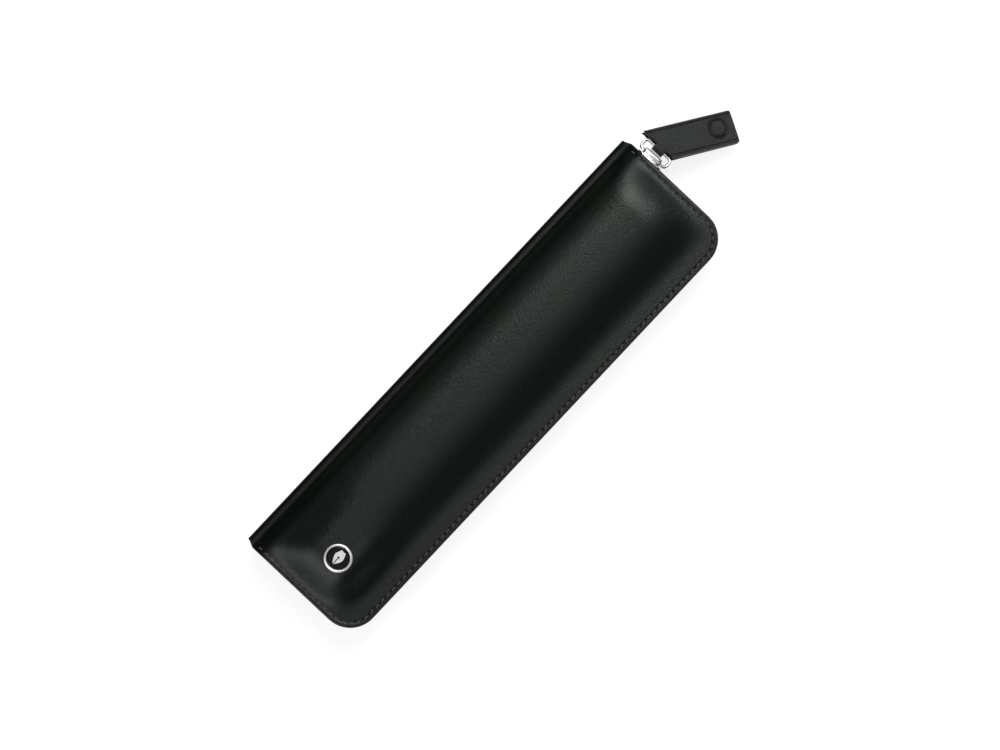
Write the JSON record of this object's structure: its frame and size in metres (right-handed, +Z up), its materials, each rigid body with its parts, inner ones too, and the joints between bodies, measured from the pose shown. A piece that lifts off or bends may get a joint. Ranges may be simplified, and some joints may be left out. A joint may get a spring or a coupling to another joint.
{
  "type": "zip-around leather fountain pen case",
  "caption": "Slim zip-around leather case for a fountain pen, with a raised dome on each cover, a pen loop inside, a small round badge and a leather pull tab.",
  "frame": {"origin": "middle of the flat crown of the back cover that the closed case rests on, at the middle of its width and length", "axes": "+X from the spine to the zip side, +Y along the case towards the end where the slider parks, +Z up through the front cover"},
  "size_m": [0.0442, 0.1971, 0.0227],
  "materials": {
    "case_leather": "black fine-grained calf, satin",
    "lining_leather": "black smooth lining leather, matt",
    "stiffener_board": "pressed fibre board",
    "zip_tape": "woven black tape",
    "zip_metal": "nickel-plated, lightly polished",
    "thread": "waxed charcoal thread",
    "polished_metal": "mirror polished plating",
    "black_enamel": "glossy black enamel",
    "tab_leather": "dark grey fine-grained leather, semi-matt"
  },
  "bodies": {
    "back": {"back_cover": "case_leather", "back_board": "stiffener_board", "back_lining": "lining_leather", "back_stitching": "thread", "back_zip_tape": "zip_tape", "back_zip_teeth": "zip_metal", "back_zip_top_stop": "zip_metal", "zip_bottom_stop": "zip_metal", "pen_loop": "lining_leather"},
    "spine": {"spine_cover": "case_leather", "spine_board": "stiffener_board", "spine_lining": "lining_leather"},
    "front": {"front_cover": "case_leather", "front_board": "stiffener_board", "front_lining": "lining_leather", "front_stitching": "thread", "front_zip_tape": "zip_tape", "front_zip_teeth": "zip_metal", "front_zip_top_stop": "zip_metal", "badge_bezel": "polished_metal", "badge_inlay": "black_enamel", "badge_emblem": "polished_metal", "badge_post": "zip_metal", "badge_washer": "zip_metal"},
    "slider": {"slider_body": "polished_metal", "slider_bridge": "polished_metal"},
    "link": {"pull_link": "polished_metal"},
    "tab": {"pull_tab": "tab_leather", "pull_tab_core": "stiffener_board"}
  },
  "joints": [
    {"name": "back_fold", "type": "hinge", "parent": "back", "child": "spine", "pos_m": [-0.02173, 0, 0.00657], "axis": [0, -1, 0], "range_deg": [0, 90]},
    {"name": "front_fold", "type": "hinge", "parent": "spine", "child": "front", "pos_m": [-0.02173, 0, 0.01543], "axis": [0, -1, 0], "range_deg": [0, 90]},
    {"name": "slider_run", "type": "slide", "parent": "back", "child": "slider", "axis": [1, 0, 0], "range_m": [0, 0.019]},
    {"name": "link_swing", "type": "hinge", "parent": "slider", "child": "link", "pos_m": [-0.0121, 0.08565, 0.011], "axis": [1, 0, 0], "range_deg": [-45, 75]},
    {"name": "tab_fold", "type": "hinge", "parent": "link", "child": "tab", "pos_m": [-0.0121, 0.08884, 0.00984], "axis": [1, 0, 0], "range_deg": [-45, 60]}
  ],
  "couplings": [
    {"joint": "front_fold", "follows": "back_fold", "ratio": 1}
  ]
}
